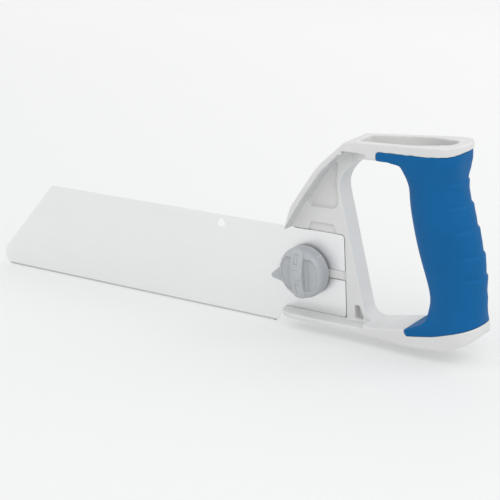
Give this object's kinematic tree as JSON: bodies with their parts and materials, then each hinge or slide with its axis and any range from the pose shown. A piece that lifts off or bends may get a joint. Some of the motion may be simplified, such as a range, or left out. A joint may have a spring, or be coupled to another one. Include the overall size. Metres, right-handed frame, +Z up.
{
  "type": "quick-change hand saw",
  "caption": "Back-less hand saw with a closed D handle, a fine-toothed slotted blade and a grey screw knob that clamps the blade to the handle's web.",
  "frame": {"origin": "where the clamp bolt's axis crosses the middle plane of the blade, in the blade's slot", "axes": "+X along the blade from its tip towards the grip, +Z up across the blade, -Y towards the side with the knob"},
  "size_m": [0.4032, 0.034, 0.1362],
  "materials": {
    "white_plastic": "satin moulded glass-filled plastic",
    "blue_rubber": "matte soft-touch overmoulded rubber",
    "blade_steel": "fine ground satin steel",
    "grey_plastic": "satin moulded plastic",
    "brass": "turned",
    "zinc_steel": "zinc plated",
    "spring_steel": "black oxide spring steel"
  },
  "bodies": {
    "handle": {"handle_frame": "white_plastic", "grip_overmould": "blue_rubber", "backing_plate": "zinc_steel", "plate_screws": "zinc_steel", "clamp_bolt": "zinc_steel", "retaining_clip": "spring_steel"},
    "clamp_stack": {"pressure_washer": "zinc_steel", "spring_washer": "spring_steel"},
    "knob": {"clamp_knob": "grey_plastic", "knob_insert": "brass", "knob_cap": "grey_plastic"},
    "blade": {"saw_blade": "blade_steel"}
  },
  "joints": [
    {"name": "clamp_lift", "type": "slide", "parent": "handle", "child": "clamp_stack", "axis": [0, -1, 0], "range_m": [0, 0.0015]},
    {"name": "knob_turn", "type": "hinge", "parent": "clamp_stack", "child": "knob", "pos_m": [0, 0, 0], "axis": [0, -1, 0], "range_deg": [0, 540]},
    {"name": "blade_slide", "type": "slide", "parent": "handle", "child": "blade", "axis": [-1, 0, 0], "range_m": [0, 0.08]}
  ],
  "couplings": [
    {"joint": "knob_turn", "follows": "clamp_lift", "rad_per_m": 6283.2}
  ]
}
